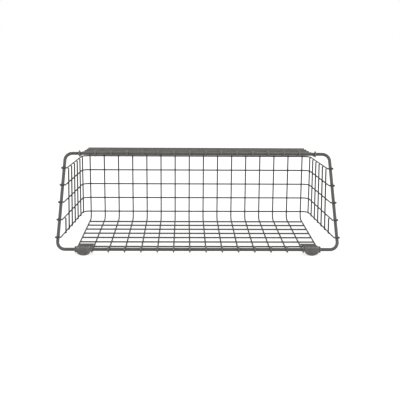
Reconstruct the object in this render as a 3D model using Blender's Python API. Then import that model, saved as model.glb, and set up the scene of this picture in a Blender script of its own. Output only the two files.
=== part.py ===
"""Wire basket with a sloped front opening, folded from square welded mesh.

Sixteen long wires run down the top panel, the back and the floor, and five row
wires run round the left side, the back and the right side.  Short cross wires
complete each panel.  Every long wire and row wire ends in a hook that curls
round one thick rim: from below at the rim's lower and upper runs, from inside
at its sloping sides.  Two strap feet fold over the rim's lower run.

The basket is drawn upright in its own frame, with the back in the plane y = 0
and the opening towards -Y, and then leans back until it rests on its feet and
on the rearmost cross wire.  Lengths are millimetres, turned into metres by MM.
"""

import math

import bpy
from mathutils import Vector

MM = 0.001

# Mesh
MESH_PITCH = 25.4
LONG_WIRES = 16
ROW_WIRES = 5
WIRE_DIAMETER = 2.3
TOUCH_GAP = 0.3
CROSS_OVERHANG = 1.0
UPRIGHT_OVERHANG = 0.0

# Panels
FLOOR_FLARE = 2.3
TOP_FLARE = 2.4
SIDE_FLARE = 3.0
FLOOR_DEPTH = 202.0
TOP_DEPTH = 131.0
FIRST_CROSS = 12.7
SIDE_FIRST_UPRIGHT = 12.9
CROSS_CLEARANCE = 12.7
UPRIGHT_CLEARANCE = 1.0
SHORT_UPRIGHT_ROWS = 2
LONG_BEND_RADIUS = 10.0
ROW_BEND_RADIUS = 12.0

# Rim
RIM_DIAMETER = 5.2
RIM_CORNER_RADIUS = 12.0
RIM_TOP_TUCK = 2.3
HOOK_TURN = 235.0

# Feet
STRAP_THICKNESS = 2.0
STRAP_INNER_BEND = 0.8
STRAP_LENGTH = 41.0
FOOT_DROP = 8.7
FOOT_ROUND_HEIGHT = 7.6

# Roundness of the drawn tubes
WIRE_BEVEL = 2
RIM_BEVEL = 4
HOOK_STEPS = 7
BEND_STEPS = 4
RIM_CORNER_STEPS = 8
STRAP_BEND_STEPS = 4
STRAP_ROUND_STEPS = 10

# Sizes that follow from the ones above
WIRE_RADIUS = WIRE_DIAMETER / 2
RIM_RADIUS = RIM_DIAMETER / 2
LAYER_STEP = WIRE_DIAMETER + TOUCH_GAP
HOOK_RADIUS = RIM_RADIUS + TOUCH_GAP + WIRE_RADIUS
OUTER_LONG_X = MESH_PITCH * (LONG_WIRES - 1) / 2
SIDE_X = OUTER_LONG_X + MESH_PITCH / 2
ROW_OUT = LAYER_STEP / 2
TOP_ROW_Z = MESH_PITCH * (ROW_WIRES - 1) / 2
PANEL_Z = TOP_ROW_Z + MESH_PITCH / 2
STRAP_WIDTH = MESH_PITCH - WIRE_DIAMETER - 2 * TOUCH_GAP


def clear_scene():
    for item in list(bpy.data.objects):
        bpy.data.objects.remove(item, do_unlink=True)


def finish(name, colour, roughness, metallic):
    material = bpy.data.materials.new(name)
    material.use_nodes = True
    shader = material.node_tree.nodes["Principled BSDF"]
    shader.inputs["Base Color"].default_value = (*colour, 1.0)
    shader.inputs["Roughness"].default_value = roughness
    shader.inputs["Metallic"].default_value = metallic
    return material


class Panel:
    """A flat run of mesh seen edge-on: it leaves `start` along `along`.

    `outward` is the unit normal that points away from the inside.
    """

    def __init__(self, start, along, outward):
        self.start = Vector(start)
        self.along = Vector(along).normalized()
        self.outward = Vector(outward).normalized()

    def at(self, distance, out=0.0):
        return self.start + self.along * distance + self.outward * out


def floor_panel():
    flare = math.radians(FLOOR_FLARE)
    along = (0, -math.cos(flare), -math.sin(flare))
    outward = (0, math.sin(flare), -math.cos(flare))
    return Panel((0, 0, -PANEL_Z), along, outward)


def top_panel():
    flare = math.radians(TOP_FLARE)
    along = (0, -math.cos(flare), math.sin(flare))
    outward = (0, math.sin(flare), math.cos(flare))
    return Panel((0, 0, PANEL_Z), along, outward)


def side_panel(side):
    """The left (-1) or right (+1) panel, at the height of the middle row."""
    flare = math.radians(SIDE_FLARE)
    along = (side * math.sin(flare), -math.cos(flare), 0)
    outward = (side * math.cos(flare), math.sin(flare), 0)
    return Panel((side * SIDE_X, 0, 0), along, outward)


def rim_bar_centres():
    """Centres of the rim's lower and upper runs, both above the long wires."""
    lower = floor_panel().at(FLOOR_DEPTH, -HOOK_RADIUS)
    upper = top_panel().at(TOP_DEPTH, HOOK_RADIUS)
    return lower, upper


def rim_half_width(depth):
    """Half the rim's width where the side panels reach the depth `depth`."""
    flare = math.radians(SIDE_FLARE)
    outset = (ROW_OUT + HOOK_RADIUS) / math.cos(flare)
    return SIDE_X + outset - depth * math.tan(flare)


def rim_side_point(side, height):
    """Where the rim's sloping side passes the height of a row wire.

    The sides tuck in a little towards the rim's upper run.
    """
    lower, upper = rim_bar_centres()
    share = (height - lower.z) / (upper.z - lower.z)
    low_half = rim_half_width(lower.y)
    high_half = rim_half_width(upper.y) - RIM_TOP_TUCK
    half = low_half + share * (high_half - low_half)
    return Vector((side * half, lower.y + share * (upper.y - lower.y), height))


def rim_corners():
    """Sharp corners of the rim's centre line, lower left first."""
    lower, upper = rim_bar_centres()
    corners = []
    for side, centre in ((-1, lower), (1, lower), (1, upper), (-1, upper)):
        corners.append(rim_side_point(side, centre.z))
    return corners


def arc_points(centre, first, second, radius, turn, steps):
    """Points round `centre` from direction `first` towards `second`."""
    points = []
    for step in range(steps + 1):
        angle = turn * step / steps
        way = first * math.cos(angle) + second * math.sin(angle)
        points.append(centre + way * radius)
    return points


def bend_points(before, corner, after, radius, steps):
    """A round bend of the given centre-line radius in place of a corner."""
    back = (before - corner).normalized()
    ahead = (after - corner).normalized()
    half = back.angle(ahead) / 2
    reach = radius / math.tan(half)
    centre = corner + (back + ahead).normalized() * (radius / math.sin(half))
    first = (corner + back * reach - centre).normalized()
    last = (corner + ahead * reach - centre).normalized()
    turn = first.angle(last)
    second = (last - first * math.cos(turn)).normalized()
    return arc_points(centre, first, second, radius, turn, steps)


def hook_points(centre, outward, forward):
    """The curled end of a wire, from where it first touches the rim."""
    turn = math.radians(HOOK_TURN)
    return arc_points(centre, outward, forward, HOOK_RADIUS, turn, HOOK_STEPS)


def tube(name, points, radius, bevel, material, closed=False):
    """A round wire along `points`, in millimetres."""
    curve = bpy.data.curves.new(name, "CURVE")
    curve.dimensions = "3D"
    curve.twist_mode = "MINIMUM"
    curve.bevel_depth = radius * MM
    curve.bevel_resolution = round(bevel)
    curve.use_fill_caps = not closed
    spline = curve.splines.new("POLY")
    spline.points.add(len(points) - 1)
    for slot, point in zip(spline.points, points):
        slot.co = (*(point * MM), 1.0)
    spline.use_cyclic_u = closed
    spline.use_smooth = True
    curve.materials.append(material)
    wire = bpy.data.objects.new(name, curve)
    bpy.context.scene.collection.objects.link(wire)
    return wire


def long_wire_points(x):
    """Top hook, top panel, back, floor and lower hook, all in one plane."""
    lower, upper = rim_bar_centres()
    top = top_panel()
    floor = floor_panel()
    shift = Vector((x, 0, 0))
    top_end = top.at(TOP_DEPTH)
    floor_end = floor.at(FLOOR_DEPTH)
    points = list(reversed(hook_points(upper, -top.outward, top.along)))
    points += bend_points(top_end, top.start, floor.start, LONG_BEND_RADIUS, BEND_STEPS)
    points += bend_points(top.start, floor.start, floor_end, LONG_BEND_RADIUS, BEND_STEPS)
    points += hook_points(lower, floor.outward, floor.along)
    return [point + shift for point in points]


def side_hook_points(side, height):
    """A row wire meets the rim from inside and curls round it squarely."""
    panel = side_panel(side)
    centre = rim_side_point(side, height)
    lower, upper = rim_corners()[0], rim_corners()[3]
    if side > 0:
        lower, upper = rim_corners()[1], rim_corners()[2]
    axis = (upper - lower).normalized()
    inward = -(panel.outward - axis * panel.outward.dot(axis)).normalized()
    forward = axis.cross(inward)
    if forward.dot(panel.along) < 0:
        forward = -forward
    return hook_points(centre, inward, forward)


def row_corner(side, height):
    """Sharp corner between the back and one side of a row wire."""
    panel = side_panel(side)
    outset = panel.outward * ROW_OUT
    reach = (LAYER_STEP - outset.y) / panel.along.y
    return panel.at(reach) + outset + Vector((0, 0, height))


def side_run_point(side, height, depth):
    """The point of a row wire's side run that lies at the depth `depth`."""
    corner = row_corner(side, height)
    touch = side_hook_points(side, height)[0]
    share = (depth - corner.y) / (touch.y - corner.y)
    return corner + (touch - corner) * share


def row_wire_points(height):
    """Left hook, left side, back, right side and right hook, all level."""
    corners = [row_corner(side, height) for side in (-1, 1)]
    left = side_hook_points(-1, height)
    right = side_hook_points(1, height)
    points = list(reversed(left))
    points += bend_points(left[0], corners[0], corners[1], ROW_BEND_RADIUS, BEND_STEPS)
    points += bend_points(corners[0], corners[1], right[0], ROW_BEND_RADIUS, BEND_STEPS)
    points += right
    return points


def cross_wire_count(first, depth):
    """How many cross wires fit between the back and the rim's hooks."""
    free = depth - first - CROSS_CLEARANCE
    return int(free // MESH_PITCH) + 1


def make_long_wires(material):
    for index in range(LONG_WIRES):
        x = -OUTER_LONG_X + index * MESH_PITCH
        name = f"long_wire_{index + 1:02d}"
        tube(name, long_wire_points(x), WIRE_RADIUS, WIRE_BEVEL, material)


def make_row_wires(material):
    for index in range(ROW_WIRES):
        height = -TOP_ROW_Z + index * MESH_PITCH
        name = f"row_wire_{index + 1}"
        tube(name, row_wire_points(height), WIRE_RADIUS, WIRE_BEVEL, material)


def make_cross_wires(material):
    """Straight wires across the floor and the top, outside the long wires."""
    half = Vector((OUTER_LONG_X + CROSS_OVERHANG, 0, 0))
    runs = (("floor", floor_panel(), FLOOR_DEPTH), ("top", top_panel(), TOP_DEPTH))
    for label, panel, depth in runs:
        for index in range(cross_wire_count(FIRST_CROSS, depth)):
            distance = FIRST_CROSS + index * MESH_PITCH
            middle = panel.at(distance, LAYER_STEP)
            ends = [middle - half, middle + half]
            tube(f"{label}_cross_{index + 1}", ends, WIRE_RADIUS, WIRE_BEVEL, material)


def full_upright_count(side):
    """How many uprights fit behind the rim all the way to the top row."""
    panel = side_panel(side)
    rim = rim_side_point(side, TOP_ROW_Z)
    depth = (rim.y + UPRIGHT_CLEARANCE) / panel.along.y
    return int((depth - SIDE_FIRST_UPRIGHT) // MESH_PITCH) + 1


def make_uprights(material):
    """Straight wires up both sides, inside the row wires.

    One more, nearest the rim, is short and only joins the lowest rows.
    """
    for side, label in ((-1, "left"), (1, "right")):
        panel = side_panel(side)
        full = full_upright_count(side)
        for index in range(full + 1):
            rows = ROW_WIRES if index < full else SHORT_UPRIGHT_ROWS
            depth = panel.at(SIDE_FIRST_UPRIGHT + index * MESH_PITCH).y
            top = (rows - 1) * MESH_PITCH - TOP_ROW_Z
            low = side_run_point(side, -TOP_ROW_Z, depth)
            high = side_run_point(side, top, depth)
            inset = panel.outward * LAYER_STEP
            extra = (high - low).normalized() * UPRIGHT_OVERHANG
            ends = [low - inset - extra, high - inset + extra]
            name = f"{label}_upright_{index + 1}"
            if index == full:
                name = f"{label}_short_upright"
            tube(name, ends, WIRE_RADIUS, WIRE_BEVEL, material)


def make_rim(material):
    corners = rim_corners()
    points = []
    for index, corner in enumerate(corners):
        before = corners[index - 1]
        after = corners[(index + 1) % len(corners)]
        points += bend_points(before, corner, after, RIM_CORNER_RADIUS, RIM_CORNER_STEPS)
    tube("rim", points, RIM_RADIUS, RIM_BEVEL, material, closed=True)


def strap_path():
    """Middle line of a foot strap as (point, half width) pairs.

    It starts level with two long wires and between them, rises over the
    rim, bends and hangs down in front of it, and ends in a half ellipse.
    """
    floor = floor_panel()
    half = STRAP_WIDTH / 2
    middle = STRAP_THICKNESS / 2
    rise = RIM_RADIUS + TOUCH_GAP + middle
    bend = STRAP_INNER_BEND + middle
    over = floor.at(FLOOR_DEPTH, -HOOK_RADIUS - rise)
    front = RIM_RADIUS + TOUCH_GAP + middle
    corner = floor.at(FLOOR_DEPTH + front, -HOOK_RADIUS - rise)
    tip = floor.at(FLOOR_DEPTH + front, -HOOK_RADIUS + FOOT_DROP)
    round_start = tip - floor.outward * FOOT_ROUND_HEIGHT
    back = floor.at(FLOOR_DEPTH - STRAP_LENGTH)
    slope = (over - back).angle(floor.along)
    over -= floor.along * (rise * math.tan(slope / 2))
    path = [(back, half), (over, half)]
    for point in bend_points(over, corner, round_start, bend, STRAP_BEND_STEPS):
        path.append((point, half))
    for step in range(STRAP_ROUND_STEPS):
        angle = math.pi / 2 * step / STRAP_ROUND_STEPS
        drop = FOOT_ROUND_HEIGHT * math.sin(angle)
        path.append((round_start + floor.outward * drop, half * math.cos(angle)))
    path.append((tip, half * math.sin(math.pi / 4 / STRAP_ROUND_STEPS)))
    return path


def make_foot(name, x, material):
    """One strap, lofted through a rectangle at each point of its path."""
    path = strap_path()
    shift = Vector((x, 0, 0))
    wide = Vector((1, 0, 0))
    vertices = []
    for index, (point, half) in enumerate(path):
        before = path[max(index - 1, 0)][0]
        after = path[min(index + 1, len(path) - 1)][0]
        way = (after - before).normalized()
        thick = way.cross(wide).normalized() * (STRAP_THICKNESS / 2)
        if 0 < index < len(path) - 1:
            bend = (point - before).angle(after - point)
            thick = thick / math.cos(bend / 2)
        for across, out in ((-1, -1), (1, -1), (1, 1), (-1, 1)):
            vertices.append((point + shift + wide * half * across + thick * out) * MM)
    faces = [(3, 2, 1, 0)]
    for index in range(len(path) - 1):
        base = 4 * index
        for corner in range(4):
            follow = (corner + 1) % 4
            faces.append((base + corner, base + follow, base + 4 + follow, base + 4 + corner))
    last = 4 * (len(path) - 1)
    faces.append((last, last + 1, last + 2, last + 3))
    mesh = bpy.data.meshes.new(name)
    mesh.from_pydata(vertices, [], faces)
    mesh.materials.append(material)
    mesh.update()
    mesh.shade_smooth()
    mesh.set_sharp_from_angle(angle=math.radians(40))
    foot = bpy.data.objects.new(name, mesh)
    bpy.context.scene.collection.objects.link(foot)
    return foot


def resting_lean():
    """Angle by which the basket leans back on its feet and rear cross wire."""
    floor = floor_panel()
    inner_face = FLOOR_DEPTH + RIM_RADIUS + TOUCH_GAP
    tip = floor.at(inner_face, FOOT_DROP - HOOK_RADIUS)
    gap = floor.at(FIRST_CROSS, LAYER_STEP) - tip
    return math.atan2(gap.z, gap.y) - math.asin(WIRE_RADIUS / gap.length)


def world_bounds(objects):
    graph = bpy.context.evaluated_depsgraph_get()
    low = Vector((math.inf,) * 3)
    high = Vector((-math.inf,) * 3)
    for item in objects:
        shown = item.evaluated_get(graph)
        mesh = shown.to_mesh()
        for vertex in mesh.vertices:
            place = shown.matrix_world @ vertex.co
            low = Vector(map(min, low, place))
            high = Vector(map(max, high, place))
        shown.to_mesh_clear()
    return low, high


def stand_on_floor(objects):
    """Lean the basket back, centre it and set its lowest point at z = 0."""
    stand = bpy.data.objects.new("stand", None)
    bpy.context.scene.collection.objects.link(stand)
    stand.rotation_euler = (-resting_lean(), 0, 0)
    for item in objects:
        item.parent = stand
    bpy.context.view_layer.update()
    low, high = world_bounds(objects)
    stand.location = (-(low.x + high.x) / 2, -(low.y + high.y) / 2, -low.z)
    bpy.context.view_layer.update()


def main():
    clear_scene()
    wire_grey = finish("Dark grey wire coating", (0.118, 0.112, 0.107), 0.55, 0.0)
    rim_grey = finish("Dark grey rim coating", (0.112, 0.107, 0.102), 0.5, 0.0)
    foot_grey = finish("Dark grey strap coating", (0.125, 0.119, 0.115), 0.6, 0.0)
    make_long_wires(wire_grey)
    make_row_wires(wire_grey)
    make_cross_wires(wire_grey)
    make_uprights(wire_grey)
    make_rim(rim_grey)
    make_foot("left_foot", -OUTER_LONG_X + MESH_PITCH / 2, foot_grey)
    make_foot("right_foot", OUTER_LONG_X - MESH_PITCH / 2, foot_grey)
    stand_on_floor(list(bpy.context.scene.objects))


main()
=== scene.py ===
"""Looks of an open wire basket: round coated wires, a thick rim, weld beads and strap feet."""

import logging
import math
from dataclasses import dataclass
from enum import Enum
from typing import Any, Sequence

import bpy
import numpy as np
from mathutils import Matrix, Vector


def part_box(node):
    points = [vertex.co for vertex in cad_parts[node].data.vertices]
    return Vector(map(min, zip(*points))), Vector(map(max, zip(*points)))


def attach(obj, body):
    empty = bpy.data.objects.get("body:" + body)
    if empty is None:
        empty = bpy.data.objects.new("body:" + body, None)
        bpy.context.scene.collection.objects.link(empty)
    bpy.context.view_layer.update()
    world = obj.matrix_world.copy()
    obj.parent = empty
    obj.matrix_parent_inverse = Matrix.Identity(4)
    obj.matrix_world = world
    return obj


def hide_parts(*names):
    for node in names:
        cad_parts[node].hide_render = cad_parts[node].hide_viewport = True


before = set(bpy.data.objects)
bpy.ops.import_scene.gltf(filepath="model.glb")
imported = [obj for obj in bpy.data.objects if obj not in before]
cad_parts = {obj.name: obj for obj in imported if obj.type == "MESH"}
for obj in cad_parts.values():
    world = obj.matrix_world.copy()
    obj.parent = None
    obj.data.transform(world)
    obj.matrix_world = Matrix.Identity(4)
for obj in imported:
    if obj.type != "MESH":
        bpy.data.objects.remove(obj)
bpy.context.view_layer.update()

LOG = logging.getLogger("wire_basket")
MM = 0.001

# Sockets of the Mix node when it mixes colours
MIX_SHARE, MIX_FIRST, MIX_SECOND, MIX_RESULT = 0, 6, 7, 2

# Mean value of a noise, so that a drift round it changes no average
NOISE_MEAN = 0.5

# Angles of the points that round off an edge
EDGE_ANGLES = np.radians([0.0, 30.0, 60.0, 90.0])

# Almost upright, so that a light straight overhead still has a right-hand side
ALMOST_UP = (0.0, 0.001, 1.0)

# Tones of the thin wires' coat, where it is thick and where it is thin
WIRE_TONE = (0.021, 0.0202, 0.0190)
WIRE_THIN_TONE = (0.029, 0.0279, 0.0262)


class Slot(Enum):
    """Material slots of the record."""

    WIRE = "wire_coating"
    RIM = "rim_coating"
    STRAP = "strap_coating"


# Shader maths


class Value:
    """A shader socket that takes part in Python sums and products."""

    def __init__(self, maker: "NodeMaker", socket: bpy.types.NodeSocket) -> None:
        """Keep the maker and the output socket."""
        self.maker = maker
        self.socket = socket

    def _join(self, operation: str, first: "Value | float", second: "Value | float") -> "Value":
        """Add one Math node.

        Args:
            operation: the Math node's operation.
            first: number or value for the first input.
            second: number or value for the second input.

        Returns:
            The node's output.
        """
        return self.maker.node("ShaderNodeMath", {"operation": operation}, {0: first, 1: second})

    def __add__(self, other: "Value | float") -> "Value":
        """Sum of two values."""
        return self._join("ADD", self, other)

    def __radd__(self, other: "Value | float") -> "Value":
        """Sum with a number on the left."""
        return self._join("ADD", other, self)

    def __sub__(self, other: "Value | float") -> "Value":
        """Difference of two values."""
        return self._join("SUBTRACT", self, other)

    def __mul__(self, other: "Value | float") -> "Value":
        """Product of two values."""
        return self._join("MULTIPLY", self, other)


class NodeMaker:
    """Adds nodes to one material."""

    def __init__(self, tree: bpy.types.NodeTree) -> None:
        """Keep the node tree."""
        self.tree = tree

    def node(
        self,
        kind: str,
        settings: dict[str, Any] | None = None,
        inputs: dict[Any, Any] | None = None,
        output: Any = 0,
    ) -> Value:
        """Add a node, set it up and link it.

        Args:
            kind: the node's type name.
            settings: attributes that are set before the inputs.
            inputs: socket name or index to a number, a tuple or a Value.
            output: name or index of the output that is returned.

        Returns:
            The chosen output.
        """
        made = self.tree.nodes.new(kind)
        for key, setting in (settings or {}).items():
            setattr(made, key, setting)
        for key, given in (inputs or {}).items():
            if isinstance(given, Value):
                self.tree.links.new(given.socket, made.inputs[key])
            else:
                made.inputs[key].default_value = given
        return Value(self, made.outputs[output])

    def noise(self, place: Value, scale: float, detail: float, roughness: float = 0.5) -> Value:
        """Soft noise between about 0 and 1.

        Args:
            place: where the noise is read.
            scale: features per metre.
            detail: octaves.
            roughness: weight of the finer octaves.

        Returns:
            The noise factor.
        """
        inputs = {"Vector": place, "Scale": scale, "Detail": detail, "Roughness": roughness}
        return self.node("ShaderNodeTexNoise", {}, inputs, "Fac")

    def mix(self, share: Value, first: Any, second: Any) -> Value:
        """Mix two colours.

        Args:
            share: share of the second colour, clamped to 0 and 1.
            first: colour or value at share 0.
            second: colour or value at share 1.

        Returns:
            The mixed colour.
        """
        settings = {"data_type": "RGBA", "clamp_factor": True}
        inputs = {MIX_SHARE: share, MIX_FIRST: first, MIX_SECOND: second}
        return self.node("ShaderNodeMix", settings, inputs, MIX_RESULT)


@dataclass(frozen=True)
class PaintedLightingZone:
    """A half of space where the coat has another tone, painted in to stand for light or shade.

    It begins where a point's reach along the axis passes the start, in metres,
    and is complete one span further on.
    """

    axis: tuple[float, float, float]
    start: float
    span: float

    def share(self, maker: NodeMaker, place: Value) -> Value:
        """How far a point lies inside, from 0 to 1.

        Args:
            maker: adds the nodes.
            place: the point.

        Returns:
            The share.
        """
        inputs = {0: place, 1: self.axis}
        reach = maker.node("ShaderNodeVectorMath", {"operation": "DOT_PRODUCT"}, inputs, "Value")
        settings = {"interpolation_type": "SMOOTHSTEP"}
        ends = {"Value": reach, "From Min": self.start, "From Max": self.start + self.span}
        return maker.node("ShaderNodeMapRange", settings, ends)


@dataclass(frozen=True)
class PowderCoat:
    """A satin baked powder coat on steel.

    The colour drifts a little with the thickness of the coat, the gloss drifts
    with it, and a fine orange peel lifts the surface. Zones paint light or shade
    into the colour: their tone stands for a highlight, a lit side or a shaded part.
    """

    name: str
    colour: tuple[float, float, float]
    thin_colour: tuple[float, float, float]
    roughness: float
    specular: float = 0.2
    cloud_scale: float = 26.0
    cloud_octaves: float = 4.0
    cloud_harshness: float = 0.6
    cloud_level: float = 0.38
    cloud_contrast: float = 2.2
    fine_octaves: float = 2.0
    fleck_scale: float = 2420.0
    fleck: float = 0.5
    grain_scale: float = 420.0
    grain: float = 0.3
    peel_scale: float = 1100.0
    peel_height: float = 0.00003
    peel_share: float = 0.7
    bump_strength: float = 0.6
    gloss_drift: float = 0.18
    gloss_peel: float = 0.12
    # Painted light or shade: the tone laid on in the zones stands for a highlight, a lit side or a
    # shaded part
    painted_lighting_colour: tuple[float, float, float] = (0.1, 0.1, 0.1)
    painted_lighting_zones: tuple[PaintedLightingZone, ...] = ()

    def build(self) -> bpy.types.Material:
        """Make the material.

        Returns:
            The finished material.
        """
        material = bpy.data.materials.new(self.name)
        material.use_nodes = True
        tree = material.node_tree
        shader = tree.nodes["Principled BSDF"]
        maker = NodeMaker(tree)
        place = maker.node("ShaderNodeTexCoord", output="Object")
        cloud = maker.noise(place, self.cloud_scale, self.cloud_octaves, self.cloud_harshness)
        fleck = maker.noise(place, self.fleck_scale, self.fine_octaves)
        peel = maker.noise(place, self.peel_scale, self.fine_octaves)
        grain = maker.noise(place, self.grain_scale, self.fine_octaves)
        thin = (
            (cloud - self.cloud_level) * self.cloud_contrast
            + (fleck - NOISE_MEAN) * self.fleck
            + (grain - NOISE_MEAN) * self.grain
        )
        tint = maker.mix(thin, (*self.colour, 1.0), (*self.thin_colour, 1.0))
        # Paint each zone's light or shade into the colour
        for zone in self.painted_lighting_zones:
            tint = maker.mix(zone.share(maker, place), tint, (*self.painted_lighting_colour, 1.0))
        drift = (cloud - NOISE_MEAN) * self.gloss_drift
        gloss = self.roughness + drift + (peel - NOISE_MEAN) * self.gloss_peel
        height = peel * self.peel_share + fleck * (1.0 - self.peel_share)
        rise = {"Strength": self.bump_strength, "Distance": self.peel_height, "Height": height}
        bump = maker.node("ShaderNodeBump", {}, rise)
        tree.links.new(tint.socket, shader.inputs["Base Color"])
        tree.links.new(gloss.socket, shader.inputs["Roughness"])
        tree.links.new(bump.socket, shader.inputs["Normal"])
        shader.inputs["Specular IOR Level"].default_value = self.specular
        return material


@dataclass(frozen=True)
class PaleFloor:
    """A matt white studio floor that is lit from below, so shadows stay faint."""

    name: str = "Pale studio floor"
    colour: tuple[float, float, float] = (0.24, 0.24, 0.24)
    glow: float = 0.76
    roughness: float = 0.9

    def build(self) -> bpy.types.Material:
        """Make the material.

        Returns:
            The finished material.
        """
        material = bpy.data.materials.new(self.name)
        material.use_nodes = True
        shader = material.node_tree.nodes["Principled BSDF"]
        shader.inputs["Base Color"].default_value = (*self.colour, 1.0)
        shader.inputs["Roughness"].default_value = self.roughness
        shader.inputs["Specular IOR Level"].default_value = 0.0
        shader.inputs["Emission Color"].default_value = (1.0, 1.0, 1.0, 1.0)
        shader.inputs["Emission Strength"].default_value = self.glow
        return material


# Shapes as arrays


def vector(x: float, y: float, z: float) -> np.ndarray:
    """A point or direction as an array."""
    return np.array([x, y, z], dtype=float)


def unit(v: np.ndarray) -> np.ndarray:
    """The same direction at length one, row by row."""
    return v / np.linalg.norm(v, axis=-1, keepdims=True)


def about_x(angle: float) -> np.ndarray:
    """Matrix of a turn about x."""
    c, s = math.cos(angle), math.sin(angle)
    return np.array([[1, 0, 0], [0, c, -s], [0, s, c]])


def about_z(angle: float) -> np.ndarray:
    """Matrix of a turn about z."""
    c, s = math.cos(angle), math.sin(angle)
    return np.array([[c, -s, 0], [s, c, 0], [0, 0, 1]])


def arc(
    centre: np.ndarray,
    first: np.ndarray,
    second: np.ndarray,
    radius: float,
    turn: float,
    steps: int,
) -> np.ndarray:
    """Points centre + radius (first cos a + second sin a), a from 0 to turn.

    Args:
        centre: centre of the arc.
        first: unit direction of the arc's first point.
        second: unit direction a quarter turn further on.
        radius: radius of the arc.
        turn: angle swept, in radians.
        steps: number of chords.

    Returns:
        An array of steps + 1 points.
    """
    angle = np.linspace(0.0, turn, steps + 1)[:, None]
    return centre + radius * (np.cos(angle) * first + np.sin(angle) * second)


def bend(
    before: np.ndarray, corner: np.ndarray, after: np.ndarray, radius: float, steps: int
) -> np.ndarray:
    """A round bend that touches both legs of a corner.

    Its centre lies on the corner's bisector, radius / sin(half angle) away.

    Args:
        before: a point on the leg that comes in.
        corner: the sharp corner.
        after: a point on the leg that goes out.
        radius: radius of the bend's middle line.
        steps: number of chords.

    Returns:
        The points of the bend.
    """
    back = unit(before - corner)
    ahead = unit(after - corner)
    half = math.acos(float(np.clip(back @ ahead, -1.0, 1.0))) / 2
    centre = corner + unit(back + ahead) * (radius / math.sin(half))
    first = unit(corner + back * (radius / math.tan(half)) - centre)
    last = unit(corner + ahead * (radius / math.tan(half)) - centre)
    turn = math.pi - 2 * half
    second = unit(last - first * math.cos(turn))
    return arc(centre, first, second, radius, turn, steps)


def tangents(path: np.ndarray, closed: bool) -> np.ndarray:
    """Directions along a path: central differences, one sided at open ends.

    Args:
        path: points of the path.
        closed: whether the last point joins the first.

    Returns:
        One unit direction per point.
    """
    if closed:
        return unit(np.roll(path, -1, axis=0) - np.roll(path, 1, axis=0))
    way = np.empty_like(path)
    way[1:-1] = unit(path[2:] - path[1:-1]) + unit(path[1:-1] - path[:-2])
    way[0] = path[1] - path[0]
    way[-1] = path[-1] - path[-2]
    return unit(way)


def grid_faces(rows: int, columns: int, closed: bool) -> np.ndarray:
    """Quads of a grid whose columns always wrap round and whose rows may.

    Args:
        rows: rows of points.
        columns: points in a row.
        closed: whether the last row joins the first.

    Returns:
        Four point numbers per face.
    """
    row = np.arange(rows if closed else rows - 1)[:, None]
    column = np.arange(columns)[None, :]
    after = (row + 1) % rows
    follow = (column + 1) % columns
    quads = [
        row * columns + column,
        row * columns + follow,
        after * columns + follow,
        after * columns + column,
    ]
    return np.stack(np.broadcast_arrays(*quads), axis=-1).reshape(-1, 4)


def end_caps(rows: int, columns: int) -> tuple[tuple[int, ...], tuple[int, ...]]:
    """Faces that close the first and the last row of a grid.

    Args:
        rows: rows of points.
        columns: points in a row.

    Returns:
        The first row backwards and the last row forwards, so that both face outwards.
    """
    first = tuple(range(columns - 1, -1, -1))
    last = tuple(range((rows - 1) * columns, rows * columns))
    return first, last


@dataclass(frozen=True)
class Surface:
    """Vertices in millimetres of the upright basket, quads and closing caps."""

    points: np.ndarray
    quads: np.ndarray
    caps: tuple[tuple[int, ...], ...]


def carry_ring(
    path: np.ndarray,
    radius: float | np.ndarray,
    sides: int,
    reference: np.ndarray,
    closed: bool = False,
) -> Surface:
    """A circle carried along a path.

    Point (i, j) is path[i] + radius[i] (across cos a_j + over sin a_j), with
    across at right angles to the reference and to the path.

    Args:
        path: middle line of the tube.
        radius: one radius, or one for each point of the path.
        sides: points round the tube.
        reference: a direction that the path never follows.
        closed: whether the last point joins the first.

    Returns:
        The tube's surface, with a cap at each open end.
    """
    way = tangents(path, closed)
    across = unit(np.cross(reference, way))
    over = np.cross(way, across)
    angle = np.arange(sides) * (2 * math.pi / sides)
    cosine, sine = np.cos(angle)[None, :, None], np.sin(angle)[None, :, None]
    ring = across[:, None] * cosine + over[:, None] * sine
    reach = np.broadcast_to(np.asarray(radius, dtype=float), (len(path),))[:, None, None]
    points = (path[:, None] + ring * reach).reshape(-1, 3)
    caps = () if closed else end_caps(len(path), sides)
    return Surface(points, grid_faces(len(path), sides, closed), caps)


def cut_ends(path: np.ndarray, radius: float, round_off: float) -> tuple[np.ndarray, np.ndarray]:
    """Round the two cut ends of a wire.

    Three extra points near each end carry radii that follow a quarter circle.

    Args:
        path: middle line of the wire.
        radius: the wire's radius.
        round_off: radius of the rounded edge.

    Returns:
        The longer path and one radius per point.
    """
    back = round_off * (1.0 - np.sin(EDGE_ANGLES))
    narrow = radius - round_off * (1.0 - np.cos(EDGE_ANGLES))
    start = path[0] + unit(path[1] - path[0]) * back[::-1, None]
    stop = path[-1] + unit(path[-2] - path[-1]) * back[:, None]
    radii = np.concatenate([narrow[::-1], np.full(len(path) - 2, radius), narrow])
    return np.concatenate([start, path[1:-1], stop]), radii


# The basket


@dataclass(frozen=True)
class Panel:
    """A flat run of mesh seen edge-on."""

    start: np.ndarray
    along: np.ndarray
    outward: np.ndarray

    def at(self, distance: float, out: float = 0.0) -> np.ndarray:
        """The point at a distance from the back and a height outside."""
        return self.start + self.along * distance + self.outward * out


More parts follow.
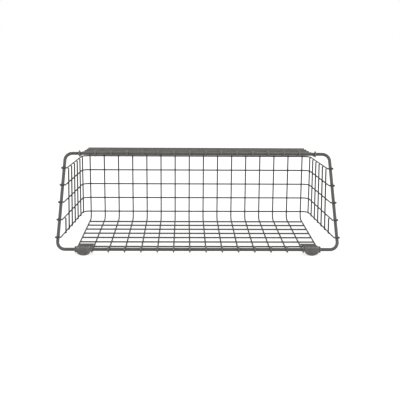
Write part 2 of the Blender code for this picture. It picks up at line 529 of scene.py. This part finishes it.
@dataclass(frozen=True)
class Basket:
    """Sizes of the basket in millimetres, in its own upright frame."""

    pitch: float = 25.4
    long_wires: int = 16
    rows: int = 5
    wire: float = 1.15
    rim: float = 2.6
    gap: float = 0.3
    cross_overhang: float = 1.0
    floor_flare: float = 2.3
    top_flare: float = 2.4
    side_flare: float = 3.0
    floor_depth: float = 202.0
    top_depth: float = 131.0
    first_cross: float = 12.7
    first_upright: float = 12.9
    floor_crosses: int = 7
    top_crosses: int = 5
    full_uprights: int = 6
    short_rows: int = 2
    long_bend: float = 10.0
    row_bend: float = 12.0
    rim_corner: float = 12.0
    rim_top_tuck: float = 2.3
    hook_turn: float = 235.0

    @property
    def layer(self) -> float:
        """Distance between the middles of two crossing wires."""
        return 2 * self.wire + self.gap

    @property
    def row_out(self) -> float:
        """How far outside a side's middle plane the row wires run."""
        return self.layer / 2

    @property
    def hook(self) -> float:
        """Radius of a hook's middle line round the rim."""
        return self.rim + self.gap + self.wire

    @property
    def outer_x(self) -> float:
        """Distance of the outermost long wire from the middle."""
        return self.pitch * (self.long_wires - 1) / 2

    @property
    def top_row(self) -> float:
        """Height of the top row wire above the middle of the back."""
        return self.pitch * (self.rows - 1) / 2

    def floor(self) -> Panel:
        """The floor, which drops a little towards the mouth.

        Returns:
            The panel, from the back to the rim.
        """
        a = math.radians(self.floor_flare)
        start = vector(0, 0, -self.top_row - self.pitch / 2)
        along = vector(0, -math.cos(a), -math.sin(a))
        return Panel(start, along, vector(0, math.sin(a), -math.cos(a)))

    def top(self) -> Panel:
        """The top, which rises a little towards the mouth.

        Returns:
            The panel, from the back to the rim.
        """
        a = math.radians(self.top_flare)
        start = vector(0, 0, self.top_row + self.pitch / 2)
        along = vector(0, -math.cos(a), math.sin(a))
        return Panel(start, along, vector(0, math.sin(a), math.cos(a)))

    def side(self, side: int) -> Panel:
        """One side, which spreads towards the mouth.

        Args:
            side: -1 for the left one and 1 for the right one.

        Returns:
            The panel, from the back to the rim.
        """
        a = math.radians(self.side_flare)
        start = vector(side * (self.outer_x + self.pitch / 2), 0, 0)
        along = vector(side * math.sin(a), -math.cos(a), 0)
        return Panel(start, along, vector(side * math.cos(a), math.sin(a), 0))

    def bars(self) -> tuple[np.ndarray, np.ndarray]:
        """Middles of the rim's lower and upper runs, both above the long wires.

        Returns:
            A point of the lower run and one of the upper run, both at x = 0.
        """
        lower = self.floor().at(self.floor_depth, -self.hook)
        upper = self.top().at(self.top_depth, self.hook)
        return lower, upper

    def grids(self) -> tuple[tuple[str, Panel, int], ...]:
        """The panels with straight cross wires, each with its label and its number of wires."""
        return ("floor", self.floor(), self.floor_crosses), ("top", self.top(), self.top_crosses)

    def rim_half(self, depth: float) -> float:
        """Half the rim's width where the side panels reach a depth.

        Args:
            depth: the y of that place.

        Returns:
            Distance of the rim's middle line from x = 0.
        """
        a = math.radians(self.side_flare)
        outset = (self.row_out + self.hook) / math.cos(a)
        return self.outer_x + self.pitch / 2 + outset - depth * math.tan(a)

    def rim_side(self, side: int, height: float) -> np.ndarray:
        """Where the rim's side, tucked in towards the top, passes a height.

        Args:
            side: -1 for the left side and 1 for the right one.
            height: the z of that place.

        Returns:
            The point of the rim's middle line.
        """
        lower, upper = self.bars()
        share = (height - lower[2]) / (upper[2] - lower[2])
        low_half = self.rim_half(lower[1])
        high_half = self.rim_half(upper[1]) - self.rim_top_tuck
        half = low_half + share * (high_half - low_half)
        return vector(side * half, lower[1] + share * (upper[1] - lower[1]), height)

    def rim_axis(self, side: int) -> np.ndarray:
        """Direction of the rim's side, upwards."""
        lower, upper = self.bars()
        return unit(self.rim_side(side, upper[2]) - self.rim_side(side, lower[2]))

    def hook_axes(self, side: int) -> tuple[np.ndarray, np.ndarray]:
        """Directions of a side hook.

        Args:
            side: -1 for the left side and 1 for the right one.

        Returns:
            From the rim's middle to the hook's first touch, and onwards from there.
        """
        panel, axis = self.side(side), self.rim_axis(side)
        inward = -unit(panel.outward - axis * (panel.outward @ axis))
        forward = np.cross(axis, inward)
        return inward, forward if forward @ panel.along > 0 else -forward

    def row_corner(self, side: int, height: float) -> np.ndarray:
        """Sharp corner between the back and one side of a row wire.

        Args:
            side: -1 for the left side and 1 for the right one.
            height: the row's z.

        Returns:
            The corner of the wire's middle line.
        """
        panel = self.side(side)
        outset = panel.outward * self.row_out
        reach = (self.layer - outset[1]) / panel.along[1]
        return panel.at(reach) + outset + vector(0, 0, height)

    def side_run(self, side: int, height: float, depth: float) -> np.ndarray:
        """The point of a row wire's side run at a depth.

        Args:
            side: -1 for the left side and 1 for the right one.
            height: the row's z.
            depth: the point's y.

        Returns:
            The point of the wire's middle line.
        """
        corner = self.row_corner(side, height)
        touch = self.rim_side(side, height) + self.hook_axes(side)[0] * self.hook
        return corner + (touch - corner) * ((depth - corner[1]) / (touch[1] - corner[1]))


@dataclass(frozen=True)
class Standing:
    """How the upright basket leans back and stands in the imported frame."""

    lean: float
    shift: np.ndarray

    @classmethod
    def from_frame(cls, basket: Basket) -> "Standing":
        """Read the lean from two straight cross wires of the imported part.

        Args:
            basket: the basket's sizes.

        Returns:
            The turn about x and the shift in millimetres.
        """
        own, packed = [], []
        for node, panel in (("floor_cross_1", basket.floor()), ("top_cross_1", basket.top())):
            own.append(panel.at(basket.first_cross, basket.layer))
            low, high = (np.array(corner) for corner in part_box(node))
            packed.append((low + high) / 2 / MM)
        before = own[1] - own[0]
        after = packed[1] - packed[0]
        lean = math.atan2(after[2], after[1]) - math.atan2(before[2], before[1])
        shift = packed[0] - cls(lean, np.zeros(3)).turn(own[0])
        return cls(lean, shift)

    def turn(self, points: np.ndarray) -> np.ndarray:
        """Turn directions or points about x, as the basket leans."""
        return points @ about_x(self.lean).T

    def place(self, points: np.ndarray) -> np.ndarray:
        """Points of the upright basket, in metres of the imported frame."""
        return (self.turn(points) + self.shift) * MM


@dataclass
class Workshop:
    """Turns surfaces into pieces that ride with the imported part."""

    standing: Standing

    def piece(
        self,
        name: str,
        surface: Surface,
        material: bpy.types.Material,
        slot: Slot,
        replaces: Sequence[str] = (),
        sharp: float = 50.0,
    ) -> None:
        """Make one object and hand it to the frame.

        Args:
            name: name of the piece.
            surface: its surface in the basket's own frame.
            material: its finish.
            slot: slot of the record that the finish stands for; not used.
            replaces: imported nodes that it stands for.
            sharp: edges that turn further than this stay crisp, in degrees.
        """
        mesh = bpy.data.meshes.new(name)
        faces = surface.quads.tolist() + [list(cap) for cap in surface.caps]
        mesh.from_pydata(self.standing.place(surface.points).tolist(), [], faces)
        mesh.materials.append(material)
        mesh.update()
        mesh.shade_smooth()
        mesh.set_sharp_from_angle(angle=math.radians(sharp))
        made = bpy.data.objects.new(name, mesh)
        bpy.context.scene.collection.objects.link(made)
        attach(made, "root")
        if replaces:
            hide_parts(*replaces)
        LOG.info("%s: %d faces", name, len(mesh.polygons))


@dataclass
class Wires:
    """All the thin wires of the mesh, round and with rounded cut ends."""

    basket: Basket
    shop: Workshop
    coat: bpy.types.Material
    # Coat of the row wires, with painted light along the sides
    side_lit_row_coat: bpy.types.Material
    sides: int = 14
    hook_steps: int = 22
    bend_steps: int = 12
    cross_points: int = 9
    upright_points: int = 7
    round_off: float = 0.3
    row_reference: tuple[float, float, float] = (0.0, 0.45, 0.9)

    def hook(self, centre: np.ndarray, outward: np.ndarray, forward: np.ndarray) -> np.ndarray:
        """The curl of a wire's end round the rim, from its first touch."""
        turn = math.radians(self.basket.hook_turn)
        return arc(centre, outward, forward, self.basket.hook, turn, self.hook_steps)

    def tube(self, path: np.ndarray, reference: np.ndarray) -> Surface:
        """A round wire with rounded ends along a path."""
        path, radii = cut_ends(path, self.basket.wire, self.round_off)
        return carry_ring(path, radii, self.sides, reference)

    def long_path(self, x: float) -> np.ndarray:
        """Top hook, top, back, floor and lower hook, in one upright plane.

        Args:
            x: place of that plane.

        Returns:
            The wire's middle line.
        """
        b = self.basket
        lower, upper = b.bars()
        top, floor = b.top(), b.floor()
        top_end, floor_end = top.at(b.top_depth), floor.at(b.floor_depth)
        parts = [
            self.hook(upper, -top.outward, top.along)[::-1],
            bend(top_end, top.start, floor.start, b.long_bend, self.bend_steps),
            bend(top.start, floor.start, floor_end, b.long_bend, self.bend_steps),
            self.hook(lower, floor.outward, floor.along),
        ]
        return np.concatenate(parts) + vector(x, 0, 0)

    def side_hook(self, side: int, height: float) -> np.ndarray:
        """The curl of a row wire, square to the rim's sloping side."""
        b = self.basket
        return self.hook(b.rim_side(side, height), *b.hook_axes(side))

    def row_path(self, height: float) -> np.ndarray:
        """Left hook, left side, back, right side and right hook.

        Args:
            height: the row's z.

        Returns:
            The wire's middle line.
        """
        b = self.basket
        corners = [b.row_corner(side, height) for side in (-1, 1)]
        left, right = self.side_hook(-1, height), self.side_hook(1, height)
        parts = [
            left[::-1],
            bend(left[0], corners[0], corners[1], b.row_bend, self.bend_steps),
            bend(corners[0], corners[1], right[0], b.row_bend, self.bend_steps),
            right,
        ]
        return np.concatenate(parts)

    def build(self) -> None:
        """Build every wire in place of its plain node."""
        self.build_long()
        self.build_rows()
        self.build_crosses()
        self.build_uprights()

    def add(self, node: str, surface: Surface, coat: bpy.types.Material | None = None) -> None:
        """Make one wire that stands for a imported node."""
        self.shop.piece(f"coated_{node}", surface, coat or self.coat, Slot.WIRE, [node])

    def build_long(self) -> None:
        """Long wires, from left to right."""
        for index in range(self.basket.long_wires):
            x = -self.basket.outer_x + index * self.basket.pitch
            self.add(f"long_wire_{index + 1:02d}", self.tube(self.long_path(x), vector(1, 0, 0)))

    def build_rows(self) -> None:
        """Row wires, from the lowest up."""
        for index in range(self.basket.rows):
            height = -self.basket.top_row + index * self.basket.pitch
            surface = self.tube(self.row_path(height), unit(vector(*self.row_reference)))
            self.add(f"row_wire_{index + 1}", surface, self.side_lit_row_coat)

    def build_crosses(self) -> None:
        """Straight wires under the floor and over the top."""
        b = self.basket
        half = vector(b.outer_x + b.cross_overhang, 0, 0)
        for label, panel, count in b.grids():
            for index in range(count):
                middle = panel.at(b.first_cross + index * b.pitch, b.layer)
                path = middle + half * np.linspace(-1, 1, self.cross_points)[:, None]
                self.add(f"{label}_cross_{index + 1}", self.tube(path, vector(0, 0, 1)))

    def build_uprights(self) -> None:
        """Straight wires up both sides; the last one is short."""
        b = self.basket
        for side, label in ((-1, "left"), (1, "right")):
            for index in range(b.full_uprights + 1):
                short = index == b.full_uprights
                rows = b.short_rows if short else b.rows
                depth = b.side(side).at(b.first_upright + index * b.pitch)[1]
                low = b.side_run(side, -b.top_row, depth)
                high = b.side_run(side, -b.top_row + (rows - 1) * b.pitch, depth)
                path = np.linspace(low, high, self.upright_points) - b.side(side).outward * b.layer
                node = f"{label}_short_upright" if short else f"{label}_upright_{index + 1}"
                self.add(node, self.tube(path, vector(0, 1, 0)))


@dataclass
class Rim:
    """The thick rim, one closed ring of round bar."""

    basket: Basket
    shop: Workshop
    coat: bpy.types.Material
    sides: int = 28
    corner_steps: int = 22

    def build(self) -> None:
        """Build the rim in place of its plain node."""
        b = self.basket
        lower, upper = b.bars()
        round_trip = ((-1, lower), (1, lower), (1, upper), (-1, upper))
        corners = [b.rim_side(side, run[2]) for side, run in round_trip]
        parts = [
            bend(before, corner, after, b.rim_corner, self.corner_steps)
            for before, corner, after in zip(corners[-1:] + corners, corners, corners[1:] + corners[:1])
        ]
        normal = np.cross(corners[1] - corners[0], corners[2] - corners[1])
        surface = carry_ring(np.concatenate(parts), b.rim, self.sides, unit(normal), closed=True)
        self.shop.piece("coated_rim", surface, self.coat, Slot.RIM, ["rim"])


@dataclass
class WeldBeads:
    """Small beads of metal under the coat where two wires cross."""

    basket: Basket
    shop: Workshop
    coat: bpy.types.Material
    # Coat of the side beads, with painted light along the sides
    side_lit_bead_coat: bpy.types.Material
    across: float = 0.88
    through: float = 0.72
    around: int = 10
    bands: int = 5
    pole: float = 1.35

    def bead(self) -> tuple[np.ndarray, np.ndarray, tuple[tuple[int, ...], ...]]:
        """One bead as a squashed ball.

        Point (i, j) is (across cos b_i cos a_j, across cos b_i sin a_j,
        through sin b_i), with b from -pole to pole, which leaves small flat ends.

        Returns:
            Points, quads and the two flat ends.
        """
        rise = np.linspace(-self.pole, self.pole, self.bands)[:, None]
        angle = (np.arange(self.around) * (2 * math.pi / self.around))[None, :]
        points = np.stack(
            np.broadcast_arrays(
                self.across * np.cos(rise) * np.cos(angle),
                self.across * np.cos(rise) * np.sin(angle),
                self.through * np.sin(rise) * np.ones_like(angle),
            ),
            axis=-1,
        ).reshape(-1, 3)
        quads = grid_faces(self.bands, self.around, False)
        return points, quads, end_caps(self.bands, self.around)

    def scatter(
        self,
        name: str,
        middles: np.ndarray,
        along: np.ndarray,
        outward: np.ndarray,
        coat: bpy.types.Material,
    ) -> None:
        """Place one bead at each crossing of a panel.

        Args:
            name: name of the piece.
            middles: centres of the beads.
            along: unit direction of one wire of the panel.
            outward: unit normal of the panel.
            coat: finish of the beads.
        """
        points, quads, caps = self.bead()
        axes = np.stack([along, np.cross(outward, along), outward])
        placed = (middles[:, None] + (points @ axes)[None]).reshape(-1, 3)
        step = (np.arange(len(middles)) * len(points))[:, None, None]
        faces = (quads[None] + step).reshape(-1, 4)
        ends = tuple(
            tuple(corner + int(base) for corner in cap) for base in step.ravel() for cap in caps
        )
        self.shop.piece(name, Surface(placed, faces, ends), coat, Slot.WIRE)

    def build(self) -> None:
        """Beads on the back, the floor, the top and both sides."""
        b = self.basket
        half = b.layer / 2
        columns = np.linspace(-b.outer_x, b.outer_x, b.long_wires)
        rows = np.linspace(-b.top_row, b.top_row, b.rows)
        x, z = (a.ravel() for a in np.meshgrid(columns, rows))
        back = np.stack([x, np.full_like(x, half), z], axis=-1)
        self.scatter("weld_beads_back", back, vector(1, 0, 0), vector(0, 1, 0), self.coat)
        for label, panel, count in b.grids():
            reach = b.first_cross + np.arange(count) * b.pitch
            x, s = (a.ravel()[:, None] for a in np.meshgrid(columns, reach))
            spots = panel.start + panel.outward * half + panel.along * s + vector(1, 0, 0) * x
            self.scatter(f"weld_beads_{label}", spots, panel.along, panel.outward, self.coat)
        for side, label in ((-1, "left"), (1, "right")):
            panel = b.side(side)
            reach = b.first_upright + np.arange(b.full_uprights + 1) * b.pitch
            depths = (panel.start + panel.along * reach[:, None])[:, 1]
            found = []
            for number, height in enumerate(rows):
                count = len(depths) - (number >= b.short_rows)
                found += [b.side_run(side, height, depth) for depth in depths[:count]]
            spots = np.array(found) - panel.outward * half
            self.scatter(f"weld_beads_{label}", spots, panel.along, panel.outward, self.side_lit_bead_coat)


@dataclass
class StrapFeet:
    """Two flat straps that run over the rim and hang down in front of it."""

    basket: Basket
    shop: Workshop
    coat: bpy.types.Material
    thickness: float = 2.0
    inner_bend: float = 0.8
    length: float = 41.0
    drop: float = 8.7
    round_height: float = 7.6
    edge: float = 0.45
    edge_share: float = 0.9
    side_margin: float = 0.6
    tip_share: float = 0.03
    run_points: int = 12
    crease_steps: int = 8
    end_points: int = 20
    sharp: float = 60.0

    def path(self) -> tuple[np.ndarray, np.ndarray]:
        """Middle line of a strap and its half width along the way.

        The half width follows half cos a over the last round_height sin a.

        Returns:
            Points and half widths.
        """
        b = self.basket
        floor = b.floor()
        half = (b.pitch - 2 * b.wire - self.side_margin) / 2
        middle = self.thickness / 2
        rise = b.rim + b.gap + middle
        back = floor.at(b.floor_depth - self.length)
        over = floor.at(b.floor_depth, -b.hook - rise)
        slope = math.acos(float(unit(over - back) @ floor.along))
        over = over - floor.along * (rise * math.tan(slope / 2))
        corner = floor.at(b.floor_depth + rise, -b.hook - rise)
        tip = floor.at(b.floor_depth + rise, -b.hook + self.drop)
        start = tip - floor.outward * self.round_height
        run = np.linspace(back, over, self.run_points)
        crease = bend(over, corner, start, self.inner_bend + middle, self.crease_steps)
        angle = np.linspace(0.0, math.pi / 2, self.end_points)
        end = start + floor.outward * (self.round_height * np.sin(angle))[:, None]
        halves = np.concatenate([np.full(len(run) + len(crease), half), half * np.cos(angle)])
        halves[-1] = half * self.tip_share
        return np.concatenate([run, crease, end]), halves

    def section(self, half: np.ndarray) -> tuple[np.ndarray, np.ndarray]:
        """A flat bar's cross section with rounded edges.

        Each corner is a quarter circle of radius edge about
        (half - edge, thickness / 2 - edge), mirrored to all four corners. Near
        the tip the edge shrinks to a share of the half width.

        Args:
            half: half width at each point of the path.

        Returns:
            Offsets across and through, one row per point of the path.
        """
        angle = np.concatenate([EDGE_ANGLES + turn for turn in np.radians([0, 90, 180, 270])])
        edge = np.minimum(self.edge, half * self.edge_share)[:, None]
        sign_x = np.repeat([1.0, -1.0, -1.0, 1.0], len(EDGE_ANGLES))[None]
        sign_y = np.repeat([1.0, 1.0, -1.0, -1.0], len(EDGE_ANGLES))[None]
        across = sign_x * (half[:, None] - edge) + edge * np.cos(angle)[None]
        through = sign_y * (self.thickness / 2 - self.edge) + self.edge * np.sin(angle)[None]
        return across, through

    def surface(self, x: float) -> Surface:
        """The strap's section carried along its path.

        Args:
            x: place of the strap's middle.

        Returns:
            The strap's surface.
        """
        path, halves = self.path()
        way = tangents(path, False)
        wide = vector(1, 0, 0)
        thick = np.cross(way, wide)
        across, through = self.section(halves)
        points = path[:, None] + across[..., None] * wide + through[..., None] * thick[:, None]
        rows, columns = across.shape
        placed = points.reshape(-1, 3) + vector(x, 0, 0)
        return Surface(placed, grid_faces(rows, columns, False), end_caps(rows, columns))

    def build(self) -> None:
        """Build both straps in place of their plain nodes."""
        reach = self.basket.outer_x - self.basket.pitch / 2
        for side, label in ((-1, "left"), (1, "right")):
            node = f"{label}_foot"
            surface = self.surface(side * reach)
            self.shop.piece(f"coated_{node}", surface, self.coat, Slot.STRAP, [node], self.sharp)


# The coats


@dataclass(frozen=True)
class Coats:
    """The coats of the basket's pieces, and where painted light or shade changes their tone.

    Fades and margins are in millimetres of the upright basket.
    """

    basket: Basket
    standing: Standing
    # Fades and margins of the painted highlight, light and shade zones
    hook_highlight_fade: float = 1.5
    top_light_margin: float = 3.0
    top_light_fade: float = 1.0
    plate_shade_fade: float = 2.2
    side_light_fade: float = 4.0

    def beyond(self, point: np.ndarray, normal: np.ndarray, fade: float) -> PaintedLightingZone:
        """A zone that begins at a point of the upright basket.

        Args:
            point: where the zone begins.
            normal: the way the zone grows.
            fade: distance over which it grows complete.

        Returns:
            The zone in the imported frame.
        """
        axis = self.standing.turn(normal)
        start = float(self.standing.place(point) @ axis)
        return PaintedLightingZone(tuple(float(part) for part in axis), start, fade * MM)

    def hooks(self) -> PaintedLightingZone:
        """Painted highlight: the hooks in front of the rim get a lighter tone.

        Returns:
            The zone in front of the plane through the hooks' backs.
        """
        lower, upper = self.basket.bars()
        out = unit(np.cross(lower - upper, vector(1, 0, 0)))
        return self.beyond(lower - out * self.basket.hook, out, self.hook_highlight_fade)

    def top(self) -> PaintedLightingZone:
        """Painted light on the top mesh: a lighter tone for the light from above."""
        top = self.basket.top()
        return self.beyond(top.at(0, -self.top_light_margin), top.outward, self.top_light_fade)

    def plates(self) -> PaintedLightingZone:
        """Painted shade on the straps' plates behind the rim: a darker tone.

        Returns:
            The zone behind the rim's lower run.
        """
        lower, _ = self.basket.bars()
        back = -self.basket.floor().along
        return self.beyond(lower - back * self.plate_shade_fade, back, self.plate_shade_fade)

    def sides(self) -> tuple[PaintedLightingZone, ...]:
        """Painted light on the left and the right side, outwards from the mesh's corners: a lighter
        tone.

        Returns:
            One zone for each side.
        """
        edge = self.basket.outer_x + self.basket.pitch / 2 - self.side_light_fade
        return tuple(
            self.beyond(vector(side * edge, 0, 0), vector(side, 0, 0), self.side_light_fade)
            for side in (-1, 1)
        )

    def wire(self) -> PowderCoat:
        """The coat of the thin wires, with a painted highlight on the hooks and painted light on the
        top.

        Returns:
            The coat, ready to build.
        """
        return PowderCoat(
            "Wire coating",
            WIRE_TONE,
            WIRE_THIN_TONE,
            roughness=0.5,
            specular=0.16,
            # Lighter tone of the painted highlight on the hooks and the painted light on the top
            painted_lighting_colour=(0.092, 0.0885, 0.084),
            painted_lighting_zones=(self.hooks(), self.top()),
        )

    def row(self) -> PowderCoat:
        """The coat of the row wires, with painted light along the sides.

        Returns:
            The coat, ready to build.
        """
        return PowderCoat(
            "Row wire coating",
            WIRE_TONE,
            WIRE_THIN_TONE,
            roughness=0.5,
            specular=0.16,
            # Lighter tone of the painted light along the sides
            painted_lighting_colour=(0.058, 0.0558, 0.0530),
            painted_lighting_zones=self.sides(),
        )

    def rim(self) -> PowderCoat:
        """The coat of the rim.

        Returns:
            The coat, ready to build.
        """
        return PowderCoat(
            "Rim coating",
            (0.058, 0.0555, 0.052),
            (0.076, 0.0725, 0.068),
            roughness=0.46,
        )

    def strap(self) -> PowderCoat:
        """The coat of the straps, mottled, with painted shade on their plates.

        Returns:
            The coat, ready to build.
        """
        return PowderCoat(
            "Strap coating",
            (0.080, 0.078, 0.074),
            (0.144, 0.139, 0.132),
            roughness=0.6,
            grain=3.0,
            # Darker tone of the painted shade on the plates
            painted_lighting_colour=(0.029, 0.0283, 0.0269),
            painted_lighting_zones=(self.plates(),),
        )


# The studio


@dataclass(frozen=True)
class Softbox:
    """One square soft light, with its place and aim in metres and its power in watts."""

    name: str
    spot: tuple[float, float, float]
    aim: tuple[float, float, float]
    size: float
    watts: float

    def build(self) -> None:
        """Hang the light and point it at its aim."""
        data = bpy.data.lights.new(self.name, "AREA")
        data.shape = "SQUARE"
        data.size = self.size
        data.energy = self.watts
        lamp = bpy.data.objects.new(self.name, data)
        back = unit(np.array(self.spot) - np.array(self.aim))
        right = unit(np.cross(vector(*ALMOST_UP), back))
        matrix = np.eye(4)
        matrix[:3] = np.stack([right, np.cross(back, right), back, self.spot], axis=1)
        lamp.matrix_world = Matrix(matrix.tolist())
        bpy.context.scene.collection.objects.link(lamp)


SOFTBOXES = (
    Softbox("overhead_box", (0.0, 0.1, 1.6), (0.0, 0.0, 0.05), 1.8, 18.0),
    Softbox("left_box", (-1.6, -0.3, 0.5), (0.0, 0.0, 0.07), 1.0, 22.0),
    Softbox("right_box", (1.6, -0.3, 0.5), (0.0, 0.0, 0.07), 1.0, 22.0),
)


@dataclass(frozen=True)
class Studio:
    """Camera at the photograph's place, pale floor and soft lights."""

    standing: Standing
    focal_px: float = 740.13
    frame_px: float = 400.0
    sensor_mm: float = 36.0
    clip: tuple[float, float] = (0.01, 100.0)
    pitch: float = 0.19671
    yaw: float = -0.021981
    roll: float = 0.0069841
    place: tuple[float, float, float] = (-21.950, -1318.97, 233.691)
    floor_reach: float = 30.0
    floor_drop: float = 0.0002

    def camera(self) -> None:
        """Stand the camera in the upright basket's frame and lean it back too."""
        axes = np.array([[1, 0, 0], [0, 0, -1], [0, 1, 0]])
        view = about_z(self.roll) @ axes @ about_x(self.pitch) @ about_z(-self.yaw)
        right, down, ahead = self.standing.turn(view)
        matrix = np.eye(4)
        spot = self.standing.place(np.array(self.place))
        matrix[:3] = np.stack([right, -down, -ahead, spot], axis=1)
        data = bpy.data.cameras.new("photo_camera")
        data.sensor_fit = "HORIZONTAL"
        data.sensor_width = self.sensor_mm
        data.lens = self.focal_px / self.frame_px * data.sensor_width
        data.clip_start, data.clip_end = self.clip
        camera = bpy.data.objects.new("photo_camera", data)
        camera.matrix_world = Matrix(matrix.tolist())
        bpy.context.scene.collection.objects.link(camera)
        bpy.context.scene.camera = camera

    def floor(self) -> None:
        """A wide pale floor under the basket."""
        mesh = bpy.data.meshes.new("studio_floor")
        reach = self.floor_reach
        corners = [(-reach, -reach, 0), (reach, -reach, 0), (reach, reach, 0), (-reach, reach, 0)]
        mesh.from_pydata(corners, [], [(0, 1, 2, 3)])
        mesh.materials.append(PaleFloor().build())
        floor = bpy.data.objects.new("studio_floor", mesh)
        floor.location = (0, 0, -self.floor_drop)
        bpy.context.scene.collection.objects.link(floor)

    def lights(self) -> None:
        """White surroundings, a large box overhead and two fills."""
        world = bpy.data.worlds.new("studio")
        world.use_nodes = True
        sky = world.node_tree.nodes["Background"]
        sky.inputs["Color"].default_value = (1.0, 1.0, 1.0, 1.0)
        sky.inputs["Strength"].default_value = 1.0
        bpy.context.scene.world = world
        for box in SOFTBOXES:
            box.build()

    def build(self) -> None:
        """Set up everything round the basket."""
        self.camera()
        self.floor()
        self.lights()
        bpy.context.scene.view_settings.view_transform = "Standard"


def main() -> None:
    """Build the studio and the basket's pieces in order."""
    logging.basicConfig(level=logging.INFO, format="%(message)s")
    basket = Basket()
    standing = Standing.from_frame(basket)
    Studio(standing).build()
    shop = Workshop(standing)
    coats = Coats(basket, standing)
    wire, row = coats.wire().build(), coats.row().build()
    rim, strap = coats.rim().build(), coats.strap().build()
    Rim(basket, shop, rim).build()
    Wires(basket, shop, wire, row).build()
    WeldBeads(basket, shop, wire, row).build()
    StrapFeet(basket, shop, strap).build()


if __name__ == "__main__":
    main()
